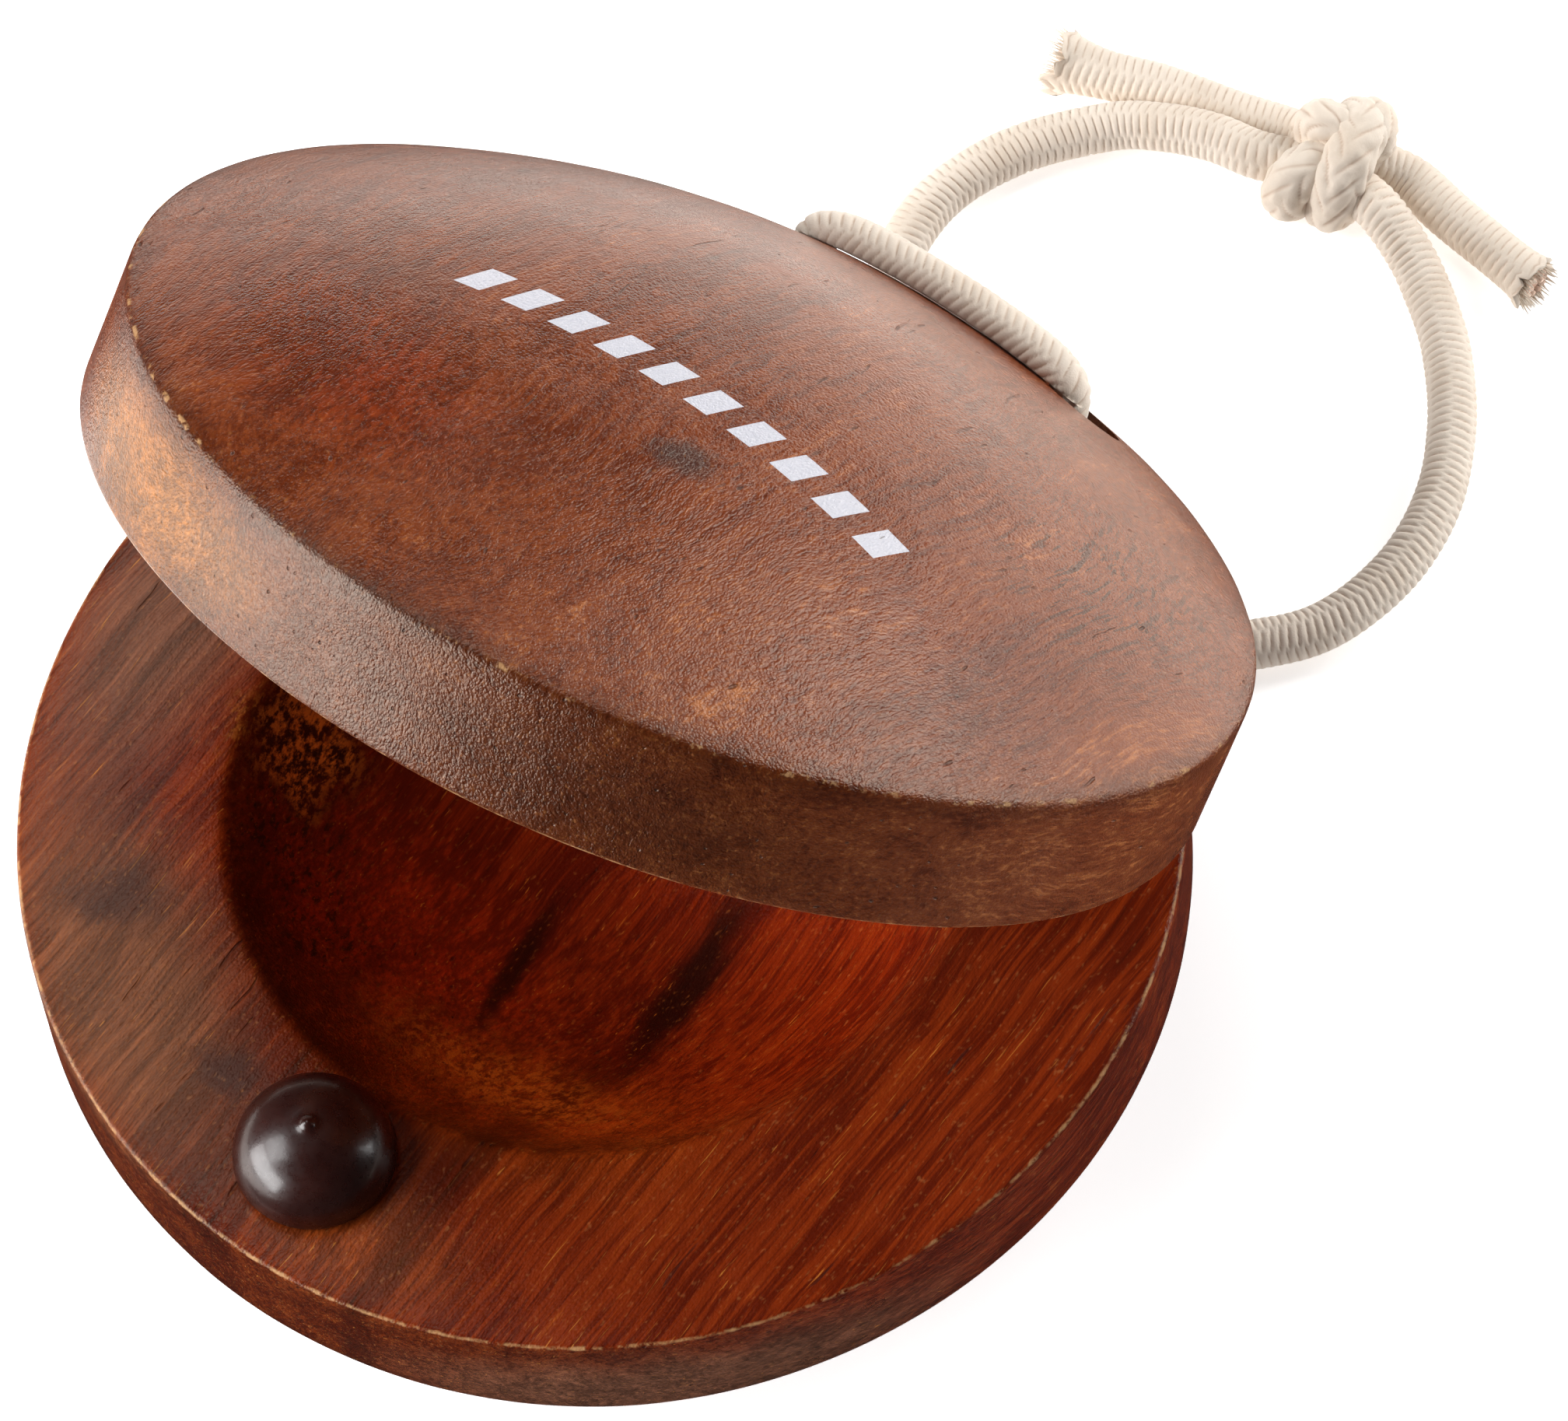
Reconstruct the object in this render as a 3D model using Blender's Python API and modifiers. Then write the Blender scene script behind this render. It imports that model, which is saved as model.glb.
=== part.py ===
"""School castanets: two round wooden shells that rock open on the bevelled backs of their rims.

An elastic cord runs up through both shells, across the top one and down again, and is tied in
a finger loop behind them. Metres, +Z up. The lower shell stands at the origin on a small flat;
the front is -Y and the shells rock on a line along X near the back.
"""
import math

import bmesh
import bpy
from mathutils import Vector

MM = 0.001

# Both shells are the same turning.
SHELL_R = 28.0 * MM
WALL_H = 6.8 * MM            # straight side wall
DOME_H = 7.75 * MM           # spherical dome on the wall, if it had no flat
LAND_R = 8.5 * MM            # flat on the lower shell's dome, which it stands on
SCOOP_R = 18.0 * MM
SCOOP_DEPTH = 8.5 * MM
EDGE = 0.35 * MM             # worn corners of the rim and the crease
TURN_STEPS = 72

# Rocking joint: the front edges of two bevels across the backs of the rims.
HINGE_Y = 21.0 * MM
OPEN_ANGLE = math.radians(42.5)
BEVEL = OPEN_ANGLE / 2
GAP = 0.3 * MM

# Cord holes, through each shell near its back.
HOLE_X, HOLE_Y, HOLE_R = 8.3 * MM, 22.0 * MM, 2.25 * MM

# Strike button, pushed into the lower rim at the front.
BUTTON_Y = -22.1 * MM
BUTTON_R, BUTTON_H = 3.9 * MM, 3.5 * MM
BUTTON_LIP = 0.3 * MM
STEM_R, STEM_LEN = 1.9 * MM, 4.6 * MM
STEM_CLEAR = 0.2 * MM
SEAT_GAP = 0.1 * MM
NUB_R, NUB_H = 0.35 * MM, 0.3 * MM

# Elastic cord.
CORD_R = 1.2 * MM
SPAN_R = 1.03 * MM                       # over the upper shell, where it is stretched thinner
CORD_X, CORD_Y = 7.6 * MM, 22.3 * MM     # where it stands in the holes, pulled inwards and back
CORD_END = 1.05 * MM                     # how far it stops from each rim plane, at the joint
CORD_CLEAR = 0.12 * MM
CORD_BEND = 5.0 * MM                     # where it leaves the lower shell for the table
CORD_STEP = 4.0 * CORD_R

DOME_RS = (SHELL_R ** 2 + DOME_H ** 2) / (2 * DOME_H)


def dome_z(r):
    """Height of the domed face over its rim plane, at a distance r from the shell's axis."""
    return WALL_H + math.sqrt(DOME_RS ** 2 - r ** 2) - (DOME_RS - DOME_H)


RIM_Z = dome_z(LAND_R)                   # the lower rim plane, over the table
CORD_FLOOR = CORD_R + 0.05 * MM          # centre of a cord that lies on the table


def clear_scene():
    for obj in list(bpy.data.objects):
        bpy.data.objects.remove(obj, do_unlink=True)


def collection(name):
    made = bpy.data.collections.new(name)
    bpy.context.scene.collection.children.link(made)
    return made


def material(name, colour, roughness, metallic=0.0):
    made = bpy.data.materials.new(name)
    made.use_nodes = True
    shader = made.node_tree.nodes["Principled BSDF"]
    shader.inputs["Base Color"].default_value = (*colour, 1.0)
    shader.inputs["Roughness"].default_value = roughness
    shader.inputs["Metallic"].default_value = metallic
    return made


def profile_object(name, points, steps=TURN_STEPS):
    """An object turned about Z from (radius, height) points that start and end on the axis."""
    mesh = bpy.data.meshes.new(name)
    edges = [(i, i + 1) for i in range(len(points) - 1)]
    mesh.from_pydata([(r, 0.0, z) for r, z in points], edges, [])
    obj = bpy.data.objects.new(name, mesh)
    screw = obj.modifiers.new("Turn", "SCREW")
    screw.steps = screw.render_steps = steps
    screw.use_merge_vertices = True
    screw.merge_threshold = 1e-6
    screw.use_smooth_shade = True
    return obj


def arc(radius, centre_z, r_from, r_to, count, up):
    """Points of a sphere's outline between two radii, without the first; up is 1 or -1."""
    a0, a1 = (math.asin(min(1.0, r / radius)) for r in (r_from, r_to))
    angles = [a0 + (a1 - a0) * i / count for i in range(1, count + 1)]
    return [(radius * math.sin(a), centre_z + up * radius * math.cos(a)) for a in angles]


def shell_profile(land_r):
    """A shell seen with its scoop up and the rim plane at z = 0."""
    scoop_rs = (SCOOP_R ** 2 + SCOOP_DEPTH ** 2) / (2 * SCOOP_DEPTH)
    points = [(0.0, -SCOOP_DEPTH)]
    points += arc(scoop_rs, scoop_rs - SCOOP_DEPTH, 0.0, SCOOP_R, 8, -1)
    points += [(SHELL_R - EDGE, 0.0), (SHELL_R, -EDGE), (SHELL_R, EDGE - WALL_H)]
    start = SHELL_R - EDGE
    points.append((start, -dome_z(start)))
    points += arc(DOME_RS, DOME_RS - DOME_H - WALL_H, start, land_r, 9, -1)
    if land_r:
        points.append((0.0, -dome_z(land_r)))
    else:
        points[-1] = (0.0, -WALL_H - DOME_H)
    return points


def button_profile():
    """The button with the underside of its head at z = 0."""
    top = [(0.0, BUTTON_H + NUB_H), (NUB_R * 0.6, BUTTON_H + NUB_H * 0.85)]
    dome = []
    foot = math.acos(NUB_R / BUTTON_R)
    for i in range(8):
        a = foot * (1 - i / 7)
        z = BUTTON_LIP + (BUTTON_H - BUTTON_LIP) * math.sin(a)
        dome.append((BUTTON_R * math.cos(a), z))
    stem = [(BUTTON_R, 0.0), (STEM_R, 0.0), (STEM_R, 0.5 * MM - STEM_LEN)]
    return top + dome + stem + [(STEM_R - 0.5 * MM, -STEM_LEN), (0.0, -STEM_LEN)]


def empty(name, into, location, tilt=0.0):
    obj = bpy.data.objects.new(name, None)
    obj.empty_display_size = 0.01
    obj.location = location
    obj.rotation_euler = (tilt, 0.0, 0.0)
    into.objects.link(obj)
    return obj


def cutter_cylinder(name, into, radius, depth, location, parent=None):
    mesh = bpy.data.meshes.new(name)
    work = bmesh.new()
    bmesh.ops.create_cone(work, cap_ends=True, segments=32, radius1=radius, radius2=radius,
                          depth=depth)
    work.to_mesh(mesh)
    work.free()
    return place_cutter(bpy.data.objects.new(name, mesh), into, location, parent)


def cutter_wedge(name, into, side, parent=None, origin=(0, 0, 0)):
    """A block whose face is the bevel plane; side is -1 below it (lower shell), 1 above."""
    mesh = bpy.data.meshes.new(name)
    work = bmesh.new()
    bmesh.ops.create_cube(work, size=1.0)
    bmesh.ops.scale(work, vec=(80 * MM, 20 * MM, 10 * MM), verts=work.verts)
    work.to_mesh(mesh)
    work.free()
    tilt = side * BEVEL
    along = Vector((0, math.cos(tilt), math.sin(tilt))) * 10 * MM
    off = Vector((0, math.sin(tilt), -math.cos(tilt))) * (side * 5 * MM)
    obj = place_cutter(bpy.data.objects.new(name, mesh), into,
                       Vector(origin) + along + off, parent)
    obj.rotation_euler = (tilt, 0, 0)
    return obj


def place_cutter(obj, into, location, parent):
    obj.location = location
    obj.parent = parent
    obj.hide_render = True
    obj.display_type = "WIRE"
    into.objects.link(obj)
    return obj


def cut(obj, *cutters):
    for other in cutters:
        boolean = obj.modifiers.new("Cut " + other.name, "BOOLEAN")
        boolean.operation = "DIFFERENCE"
        boolean.solver = "EXACT"
        boolean.object = other


def finish(obj, name, into, mat, parent=None, location=(0, 0, 0), turn=0.0):
    obj.name = name
    obj.data.materials.append(mat)
    obj.parent = parent
    obj.location = location
    obj.rotation_euler = (turn, 0.0, 0.0)
    into.objects.link(obj)
    return obj


def smooth_path(points, step):
    """Points about a step apart on a Catmull-Rom curve through the given points."""
    pts = [Vector(p) for p in points]
    pts = [2 * pts[0] - pts[1]] + pts + [2 * pts[-1] - pts[-2]]
    path = [pts[1]]
    for a, b, c, d in zip(pts, pts[1:], pts[2:], pts[3:]):
        count = max(1, round((c - b).length / step))
        for i in range(1, count + 1):
            t = i / count
            path.append(0.5 * (2 * b + (c - a) * t + (2 * a - 5 * b + 4 * c - d) * t ** 2
                               + (3 * b - a - 3 * c + d) * t ** 3))
    return path


def cord(name, into, points, mat, parent=None, step=CORD_STEP, radius=CORD_R):
    curve = bpy.data.curves.new(name, "CURVE")
    curve.dimensions = "3D"
    curve.bevel_depth = radius
    curve.bevel_resolution = 2
    curve.use_fill_caps = True
    path = smooth_path(points, step)
    spline = curve.splines.new("POLY")
    spline.points.add(len(path) - 1)
    for point, place in zip(spline.points, path):
        point.co = (*place, 1.0)
    return finish(bpy.data.objects.new(name, curve), name, into, mat, parent)


def on_dome(x, y, share=1.0):
    """The centre of the span where it lies on the dome, in a frame on the shell's rim plane.

    share is how much of its own half-thickness it stands off by, less where it dips to a hole.
    """
    r = math.hypot(x, y) * MM
    lift = share * (SPAN_R + CORD_CLEAR) / math.cos(math.asin(r / DOME_RS))
    return x * MM, y * MM, dome_z(r) + lift


def span_route():
    """Over the upper shell from hole to hole, in a frame on its rim plane with +Z outwards."""
    half = [(CORD_X, CORD_Y, z) for z in (CORD_END, 3.6 * MM, 6.4 * MM, 8.4 * MM)]
    half += [on_dome(7.25, 22.25, 0.5), on_dome(6.4, 22.1, 0.95), on_dome(5.0, 21.9),
             on_dome(2.6, 21.7)]
    left = [(-x, y, z) for x, y, z in half]
    return left + [on_dome(0.0, 21.6)] + half[::-1]


def leg_route(side, heading):
    """Down a hole in the lower shell and round on to the table, towards heading (radians)."""
    x = side * CORD_X
    route = [(x, CORD_Y, RIM_Z - z) for z in (CORD_END, 3.6 * MM, 6.0 * MM)]
    top = CORD_FLOOR + CORD_BEND
    for i in range(4):
        a = math.radians(30 * i)
        out = CORD_BEND * (1 - math.cos(a))
        route.append((x + out * math.cos(heading), CORD_Y + out * math.sin(heading),
                      top - CORD_BEND * math.sin(a)))
    return route


def knot_solid(name, into, mat, centre):
    """A lumpy solid: one body for the heart of the knot and one for each of its four turns."""
    lobes = []
    places = [(0, 0, 0.1)] + [(1.3 * i, 1.1 * j, 0.3 * i * j) for i in (-1, 1) for j in (-1, 1)]
    for index, place in enumerate(places):
        mesh = bpy.data.meshes.new(name)
        work = bmesh.new()
        bmesh.ops.create_uvsphere(work, u_segments=16, v_segments=10, radius=1.9 * MM)
        bmesh.ops.rotate(work, cent=(0, 0, 0), verts=work.verts,
                         matrix=Vector((0, 0, 1)).rotation_difference(
                             Vector((0.3 * index, 0.2, 1.0))).to_matrix())
        work.to_mesh(mesh)
        work.free()
        lobe = bpy.data.objects.new(f"{name}_lobe{index}", mesh)
        lobe.location = centre + Vector(place) * MM
        lobes.append(lobe)
    heart, turns = lobes[0], lobes[1:]
    location = heart.location.copy()
    for turn in turns:
        place_cutter(turn, bpy.data.collections["Cutters"], turn.location, None)
        union = heart.modifiers.new("Join " + turn.name, "BOOLEAN")
        union.operation = "UNION"
        union.solver = "EXACT"
        union.object = turn
    return finish(heart, name, into, mat, location=location)


def build():
    clear_scene()
    parts = collection("Castanets")
    cutters = collection("Cutters")

    wood_low = material("wood_lower", (0.16, 0.055, 0.025), 0.38)
    wood_top = material("wood_upper", (0.24, 0.10, 0.055), 0.42)
    plastic = material("button_plastic", (0.025, 0.008, 0.006), 0.25)
    elastic = material("elastic_braid", (0.72, 0.63, 0.52), 0.85)

    hinge = empty("hinge", parts, (0, HINGE_Y, RIM_Z + GAP / 2), -OPEN_ANGLE)
    rim = (0, -HINGE_Y, GAP / 2)                       # the upper rim plane, under the hinge

    lower = profile_object("lower_shell", shell_profile(LAND_R))
    finish(lower, "lower_shell", parts, wood_low, location=(0, 0, RIM_Z))
    low_cuts = [cutter_wedge("lower_bevel", cutters, -1, origin=(0, HINGE_Y, RIM_Z))]
    upper = profile_object("upper_shell", shell_profile(0.0))
    finish(upper, "upper_shell", parts, wood_top, hinge, rim, math.pi)
    top_cuts = [cutter_wedge("upper_bevel", cutters, 1, hinge, (0, 0, GAP / 2))]
    for side, word in ((-1, "left"), (1, "right")):
        x = side * HOLE_X
        low_cuts.append(cutter_cylinder(f"lower_hole_{word}", cutters, HOLE_R, 40 * MM,
                                        (x, HOLE_Y, RIM_Z)))
        top_cuts.append(cutter_cylinder(f"upper_hole_{word}", cutters, HOLE_R, 40 * MM,
                                        (x, HOLE_Y - HINGE_Y, 0), hinge))
    stem_depth = STEM_LEN + 0.3 * MM
    low_cuts.append(cutter_cylinder("stem_hole", cutters, STEM_R + STEM_CLEAR, 2 * stem_depth,
                                    (0, BUTTON_Y, RIM_Z)))
    cut(lower, *low_cuts)
    cut(upper, *top_cuts)

    button = profile_object("strike_button", button_profile(), 40)
    finish(button, "strike_button", parts, plastic, location=(0, BUTTON_Y, RIM_Z + SEAT_GAP))

    span = cord("elastic_span", parts, span_route(), elastic, hinge, 1.6 * MM, SPAN_R)
    span.location = rim

    floor = CORD_FLOOR
    left = leg_route(-1, math.radians(97))
    left += [(x * MM, y * MM, floor) for x, y in (
        (-9.4, 32.5), (-11.2, 37.5), (-11.5, 41.5), (-10.0, 45.6))]
    left += [(x * MM, y * MM, z * MM) for x, y, z in (
        (-7.05, 49.3, 1.3), (-4.5, 50.8, 1.7), (-1.9, 51.6, 2.1), (0.5, 51.9, 2.35))]
    right = leg_route(1, math.radians(42))
    right += [(x * MM, y * MM, floor) for x, y in (
        (16.0, 29.8), (18.5, 33.0), (19.5, 37.2), (19.0, 41.4), (17.2, 45.2), (14.4, 48.7))]
    right += [(x * MM, y * MM, z * MM) for x, y, z in (
        (11.4, 51.05, 1.4), (9.2, 52.2, 1.9), (7.4, 52.8, 2.35))]
    cord("elastic_left", parts, left, elastic)
    cord("elastic_right", parts, right, elastic)

    # The two strands enter the knot high in front, and the tails leave it low behind them.
    knot_at = Vector((3.9 * MM, 53.7 * MM, 2.9 * MM))
    knot_solid("elastic_knot", parts, elastic, knot_at)
    for word, points in (
            ("left", ((0.4, 54.55, 1.3), (-1.95, 53.75, 1.25), (-6.0, 52.75, 1.25),
                      (-8.7, 51.7, 1.25), (-11.1, 51.0, 1.25))),
            ("right", ((7.4, 55.6, 1.3), (9.9, 55.1, 1.25), (12.0, 54.8, 1.25),
                       (15.7, 54.3, 1.25)))):
        cord("elastic_tail_" + word, parts, [Vector(p) * MM for p in points], elastic)


build()
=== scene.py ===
"""Looks of the school castanets: turned wooden shells, a strike button and a braided elastic.

Lengths in the design numbers are millimetres; every mesh is built in metres.
"""
import math
from collections import namedtuple

import bmesh
import bpy
import numpy as np
from mathutils import Matrix, Quaternion, Vector, noise


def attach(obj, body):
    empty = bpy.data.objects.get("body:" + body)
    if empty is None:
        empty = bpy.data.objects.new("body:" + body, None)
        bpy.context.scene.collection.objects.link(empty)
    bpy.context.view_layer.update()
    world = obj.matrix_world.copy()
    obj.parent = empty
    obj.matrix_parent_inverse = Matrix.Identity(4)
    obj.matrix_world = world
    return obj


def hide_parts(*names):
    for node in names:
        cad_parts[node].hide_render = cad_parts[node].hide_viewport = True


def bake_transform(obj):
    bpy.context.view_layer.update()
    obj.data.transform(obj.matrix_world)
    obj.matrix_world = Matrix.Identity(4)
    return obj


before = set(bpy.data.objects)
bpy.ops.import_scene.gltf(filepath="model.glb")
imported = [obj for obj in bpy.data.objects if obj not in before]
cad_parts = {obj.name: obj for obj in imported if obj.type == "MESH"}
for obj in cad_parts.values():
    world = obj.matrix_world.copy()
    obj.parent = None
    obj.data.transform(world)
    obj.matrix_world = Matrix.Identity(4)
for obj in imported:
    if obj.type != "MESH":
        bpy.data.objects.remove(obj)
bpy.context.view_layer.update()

MM = 0.001

# The shells, the joint, the button and the cord, as in the CAD.
SHELL_R, WALL_H, DOME_H, LAND_R = 28.0, 6.8, 7.75, 8.5
SCOOP_R, SCOOP_DEPTH = 18.0, 8.5
DOME_RS = (SHELL_R ** 2 + DOME_H ** 2) / (2 * DOME_H)
HINGE_Y, OPEN_ANGLE, GAP = 21.0, math.radians(42.5), 0.3
HOLE_X, HOLE_Y, HOLE_R = 8.3, 22.0, 2.25
BUTTON_Y, BUTTON_R, BUTTON_H = -22.1, 3.9, 3.5
STEM_R, STEM_LEN = 1.9, 4.6
CORD_R, SPAN_R = 1.2, 1.03
CORD_X, CORD_Y = 7.6, 22.3      # the cord leans on one side of each hole
CORD_END = 1.05                 # how far inside the rim plane a length of cord is cut
CORD_BEND = 5.0
CORD_FLOOR = CORD_R + 0.05      # height of a cord's middle where it lies on the table

FINISH_SEED = 1                 # the same hand finish each time
SOFT_GAP = 0.04                 # the soft pieces stay this far above the table
SHELL_GAP = 0.02                # and the lower shell this far


def dome_z(r):
    """Height of the dome at radius r, over the rim plane."""
    return WALL_H + math.sqrt(DOME_RS ** 2 - r ** 2) - (DOME_RS - DOME_H)


RIM_Z = dome_z(LAND_R)
LOWER = Matrix.Translation((0, 0, RIM_Z * MM))
UPPER = (Matrix.Translation((0, HINGE_Y * MM, (RIM_Z + GAP / 2) * MM))
         @ Matrix.Rotation(-OPEN_ANGLE, 4, "X")
         @ Matrix.Translation((0, -HINGE_Y * MM, GAP / 2 * MM)))


# ---------------------------------------------------------------- camera

LENS, SENSOR_WIDTH = 267.86, 36.0
CAMERA_AIM = Vector((4.0, 9.3, 13.9)) * MM
CAMERA_AZIMUTH, CAMERA_ELEVATION = math.radians(45.01), math.radians(62.83)
CAMERA_ROLL = math.radians(9.03)
CAMERA_DISTANCE = 0.5575


def link(obj):
    bpy.context.scene.collection.objects.link(obj)
    return obj


def add_camera():
    data = bpy.data.cameras.new("camera")
    data.lens, data.sensor_width = LENS, SENSOR_WIDTH
    data.clip_start, data.clip_end = 0.05, 20.0
    camera = link(bpy.data.objects.new("camera", data))
    back = Vector((math.sin(CAMERA_AZIMUTH) * math.cos(CAMERA_ELEVATION),
                   -math.cos(CAMERA_AZIMUTH) * math.cos(CAMERA_ELEVATION),
                   math.sin(CAMERA_ELEVATION)))
    camera.location = CAMERA_AIM + back * CAMERA_DISTANCE
    camera.rotation_mode = "QUATERNION"
    camera.rotation_quaternion = ((-back).to_track_quat("-Z", "Y")
                                  @ Quaternion((0, 0, 1), -CAMERA_ROLL))
    bpy.context.scene.camera = camera


# ---------------------------------------------------------------- node helpers

class Nodes:
    """One material's node tree, with a short call for each kind of node used here."""

    def __init__(self, name):
        self.material = bpy.data.materials.new(name)
        self.material.use_nodes = True
        self.tree = self.material.node_tree
        self.shader = self.tree.nodes["Principled BSDF"]
        self.place = None

    def put(self, value, socket):
        if isinstance(value, bpy.types.NodeSocket):
            self.tree.links.new(value, socket)
        elif socket.type == "RGBA":
            socket.default_value = (*value, 1.0)
        else:
            socket.default_value = value

    def set(self, name, value):
        self.put(value, self.shader.inputs[name])

    def math(self, operation, *values, clamp=False):
        node = self.tree.nodes.new("ShaderNodeMath")
        node.operation, node.use_clamp = operation, clamp
        for value, socket in zip(values, node.inputs):
            self.put(value, socket)
        return node.outputs[0]

    def vector(self, operation, *values):
        node = self.tree.nodes.new("ShaderNodeVectorMath")
        node.operation = operation
        for index, value in enumerate(values):
            self.put(value, node.inputs["Scale" if operation == "SCALE" and index else index])
        return node.outputs["Value" if operation in ("LENGTH", "DISTANCE", "DOT_PRODUCT")
                            else "Vector"]

    def coordinates(self, which="Object"):
        return self.tree.nodes.new("ShaderNodeTexCoord").outputs[which]

    def millimetres(self):
        """The point's place in its own part's frame, as keep_local stores it."""
        if self.place is None:
            node = self.tree.nodes.new("ShaderNodeAttribute")
            node.attribute_name = "local"
            self.place = node.outputs["Vector"]
        return self.place

    def split(self, vector):
        node = self.tree.nodes.new("ShaderNodeSeparateXYZ")
        self.put(vector, node.inputs[0])
        return node.outputs

    def join(self, x, y, z):
        node = self.tree.nodes.new("ShaderNodeCombineXYZ")
        for value, socket in zip((x, y, z), node.inputs):
            self.put(value, socket)
        return node.outputs[0]

    def noise(self, at, scale=1.0, detail=2.0, rough=0.5, out="Fac"):
        node = self.tree.nodes.new("ShaderNodeTexNoise")
        self.put(at, node.inputs["Vector"])
        for name, value in (("Scale", scale), ("Detail", detail), ("Roughness", rough)):
            self.put(value, node.inputs[name])
        return node.outputs[out]

    def cells(self, at):
        node = self.tree.nodes.new("ShaderNodeTexVoronoi")
        self.put(at, node.inputs["Vector"])
        self.put(1.0, node.inputs["Scale"])
        return node.outputs["Distance"], node.outputs["Color"]

    def span(self, value, low, high, to_low=0.0, to_high=1.0, smooth=True):
        """The value taken from low..high to to_low..to_high, and held beyond them."""
        node = self.tree.nodes.new("ShaderNodeMapRange")
        node.interpolation_type = "SMOOTHSTEP" if smooth else "LINEAR"
        for item, socket in zip((value, low, high, to_low, to_high), node.inputs):
            self.put(item, socket)
        return node.outputs[0]

    def ramp(self, value, stops):
        node = self.tree.nodes.new("ShaderNodeValToRGB")
        node.color_ramp.interpolation = "EASE"
        self.put(value, node.inputs[0])
        elements = node.color_ramp.elements
        while len(elements) < len(stops):
            elements.new(0.5)
        for element, (at, colour) in zip(elements, stops):
            element.position = at
            element.color = (*colour, 1.0)
        return node.outputs[0]

    def mix(self, share, a, b, mode="MIX"):
        node = self.tree.nodes.new("ShaderNodeMix")
        node.data_type, node.blend_type, node.clamp_factor = "RGBA", mode, True
        self.put(share, node.inputs["Factor"])
        self.put(a, next(s for s in node.inputs if s.name == "A" and s.type == "RGBA"))
        self.put(b, next(s for s in node.inputs if s.name == "B" and s.type == "RGBA"))
        return next(s for s in node.outputs if s.type == "RGBA")

    def multiplied(self, colour, by):
        return self.mix(1.0, colour, by, "MULTIPLY")

    def product(self, *values):
        """All the values multiplied together, in order."""
        result = values[0]
        for value in values[1:]:
            result = self.math("MULTIPLY", result, value)
        return result

    def attribute(self, name):
        node = self.tree.nodes.new("ShaderNodeAttribute")
        node.attribute_name = name
        return node.outputs["Fac"]

    def bump(self, height, depth_mm, strength=1.0, under=None):
        node = self.tree.nodes.new("ShaderNodeBump")
        self.put(height, node.inputs["Height"])
        self.put(depth_mm * MM, node.inputs["Distance"])
        self.put(strength, node.inputs["Strength"])
        if under is not None:
            self.put(under, node.inputs["Normal"])
        return node.outputs[0]


# ---------------------------------------------------------------- wood

def hypotenuse(g, a, b):
    return g.math("SQRT", g.math("ADD", g.math("MULTIPLY", a, a), g.math("MULTIPLY", b, b)))


def ring_distance(g, x, y, z, radius, height):
    """Distance in mm from the circle of this radius at this height about the shell's axis."""
    return hypotenuse(g, g.math("SUBTRACT", hypotenuse(g, x, y), radius),
                      g.math("SUBTRACT", z, height))


def wander(g, at, scale, reach, detail=2.0):
    """A small smooth displacement, up to about half the reach in mm each way."""
    field = g.noise(g.vector("MULTIPLY", at, (scale,) * 3), 1.0, detail, 0.55, "Color")
    return g.vector("SCALE", g.vector("SUBTRACT", field, (0.5, 0.5, 0.5)), reach)


def stretched(g, q, across, along, detail=3.0, rough=0.6):
    """Noise drawn out along the grain; the scales are cycles a mm."""
    return g.noise(g.vector("MULTIPLY", q, (across, along, across)), 1.0, detail, rough)


# A patch of colour on the wood: an ellipsoid at centre with these half axes, turned about Z. The
# kind is "" for an even stain, "broad" for a large soft change of tone, "dashes" or "torn".
Mark = namedtuple("Mark", "centre spread turn colour share kind")
# A row of printed bars from start to stop along X, at height level on Y.
Bars = namedtuple("Bars", "start stop level tall pitch")

BAR_SLANT, BAR_HALF_WIDTH = 0.3, 0.27        # the half width is a share of the pitch
INK = (0.58, 0.58, 0.64)
RAY_GOLD, GRIT_GOLD = (0.55, 0.21, 0.035), (0.46, 0.18, 0.055)
BARE_WOOD = (0.44, 0.24, 0.10)
PORE_TINT, CREASE_TINT = (0.20, 0.13, 0.11), (0.35, 0.30, 0.28)
SCOOP_TINT = (1.20, 0.85, 0.60)


def marked(g, colour, mark, p, q, tone, torn, seed):
    """The colour with one mark laid over it."""
    broad = mark.kind == "broad"
    node = g.tree.nodes.new("ShaderNodeMapping")
    node.vector_type = "TEXTURE"
    reach = min(mark.spread[:2]) * (0.25 if broad else 1.1)
    wobble = wander(g, g.vector("ADD", p, (seed, 0.0, 0.0)), 0.45, reach, 3.0)
    g.put(g.vector("ADD", p, wobble), node.inputs["Vector"])
    node.inputs["Location"].default_value = mark.centre
    node.inputs["Rotation"].default_value = (0, 0, math.radians(mark.turn))
    node.inputs["Scale"].default_value = mark.spread
    mask = g.span(g.vector("LENGTH", node.outputs[0]), 1.0, 0.25, 0.0, mark.share)
    to = mark.colour
    if mark.kind == "torn":
        mask = g.product(mask, g.span(torn, 0.44, 0.62))
    elif mark.kind == "dashes":
        mask = g.product(mask, g.span(stretched(g, q, 3.0, 0.26), 0.54, 0.61))
    elif broad:
        to = g.mix(g.span(tone, 0.25, 0.95), g.vector("SCALE", to, 0.45),
                   g.vector("SCALE", to, 1.7))
    return g.mix(mask, colour, to)


def vessel_mask(g, q):
    """Vessels: long tubes along the grain, so they show as dots where the surface cuts across."""
    distance, vessel_id = g.cells(g.vector("MULTIPLY", g.vector("ADD", q, wander(g, q, 0.2, 1.2)),
                                           (1.75, 0.045, 1.75)))
    width = g.span(g.split(vessel_id)[0], 0.25, 1.0, 0.0, 0.20, smooth=False)
    return g.product(g.span(distance, width, g.math("MULTIPLY", width, 0.45)),
                     g.span(width, 0.01, 0.04),
                     g.span(stretched(g, q, 0.9, 0.5), 0.34, 0.56, 0.25, 1.0))


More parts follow.
